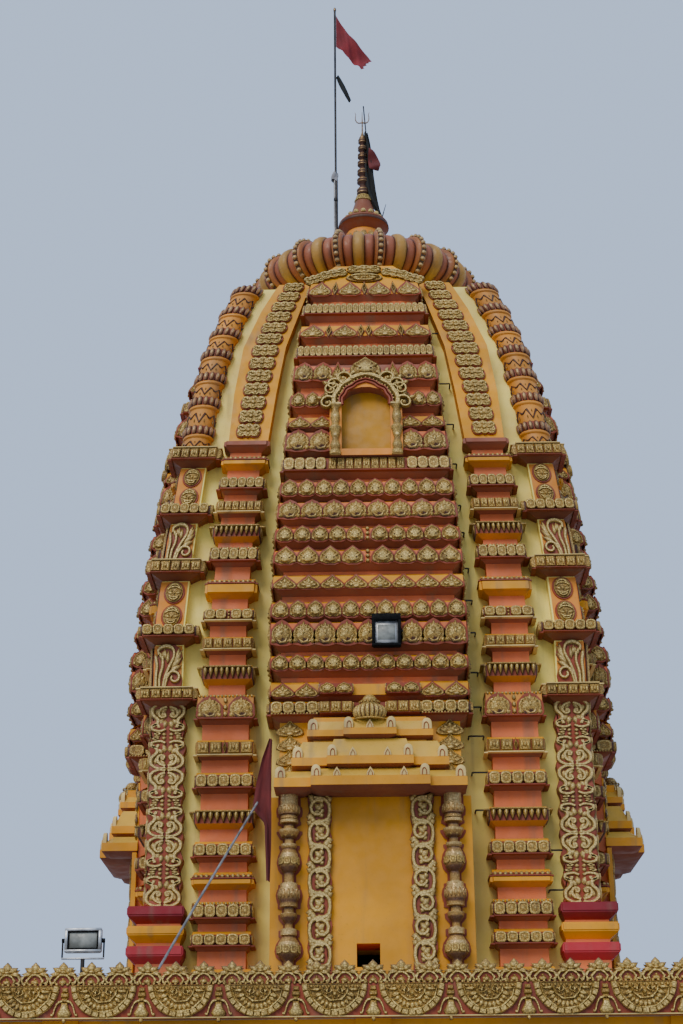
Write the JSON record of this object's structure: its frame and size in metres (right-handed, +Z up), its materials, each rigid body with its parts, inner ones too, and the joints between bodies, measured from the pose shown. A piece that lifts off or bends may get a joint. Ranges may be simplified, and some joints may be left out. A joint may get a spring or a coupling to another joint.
{
  "type": "hindu temple",
  "caption": "Curved Odisha-style temple tower with banded piers, niches, ribbed crown disc and finial, standing on an open pillared hall.",
  "frame": {"origin": "on the ground under the tower's axis, at the centre of the sanctum", "axes": "+Z up along the tower, front face towards -Y, +X to the right seen from the front"},
  "size_m": [12.78, 14.2, 20.94],
  "materials": {
    "concrete": "bare grey concrete",
    "coral_paint": "matt coral paint on plaster",
    "gilt_plaster": "antique gold paint on moulded plaster",
    "ochre_paint": "matt ochre paint on plaster",
    "maroon_paint": "matt maroon paint on plaster",
    "pale_yellow_paint": "matt pale yellow paint on plaster",
    "finial_metal": "weathered gilt metal",
    "pole_steel": "grey pipe",
    "red_cloth": "thin red cloth",
    "black_cloth": "thin black cloth",
    "lamp_housing": "black powder coat"
  },
  "bodies": {
    "root": {"plinth_floor": "concrete", "roof_slab": "concrete", "colonnade_front": "coral_paint", "colonnade_back": "coral_paint", "colonnade_left": "coral_paint", "colonnade_right": "coral_paint", "parapet_front": "gilt_plaster", "parapet_back": "gilt_plaster", "parapet_left": "gilt_plaster", "parapet_right": "gilt_plaster", "sanctum_wall_front_left": "ochre_paint", "sanctum_wall_front_right": "ochre_paint", "sanctum_wall_back": "ochre_paint", "sanctum_wall_left": "ochre_paint", "sanctum_wall_right": "ochre_paint", "sanctum_door_lintel": "maroon_paint", "tower_wall_front": "pale_yellow_paint", "tower_wall_front_foot": "pale_yellow_paint", "tower_wall_right": "pale_yellow_paint", "tower_wall_back": "pale_yellow_paint", "tower_wall_left": "pale_yellow_paint", "tower_top_slab": "pale_yellow_paint", "corner_pier_front_left": "ochre_paint", "corner_pier_front_right": "ochre_paint", "corner_pier_back_right": "ochre_paint", "corner_pier_back_left": "ochre_paint", "corner_bells_front_left": "gilt_plaster", "corner_bells_front_right": "gilt_plaster", "corner_bells_back_right": "gilt_plaster", "corner_bells_back_left": "gilt_plaster", "side_pier_front_left": "coral_paint", "side_pier_front_right": "coral_paint", "side_pier_right_left": "coral_paint", "side_pier_right_right": "coral_paint", "side_pier_back_left": "coral_paint", "side_pier_back_right": "coral_paint", "side_pier_left_left": "coral_paint", "side_pier_left_right": "coral_paint", "centre_pier_front": "coral_paint", "centre_pier_front_foot": "coral_paint", "centre_pier_right": "coral_paint", "centre_pier_back": "coral_paint", "centre_pier_left": "coral_paint", "niche_front": "ochre_paint", "niche_front_foot": "ochre_paint", "niche_right": "ochre_paint", "niche_back": "ochre_paint", "niche_left": "ochre_paint", "crown_neck": "ochre_paint", "ribbed_disc": "gilt_plaster", "bell_cap": "maroon_paint", "finial": "finial_metal", "flag_pole": "pole_steel", "flag": "red_cloth", "streamer": "black_cloth", "tower_lamp": "lamp_housing", "roof_lamp": "lamp_housing"}
  },
  "joints": []
}
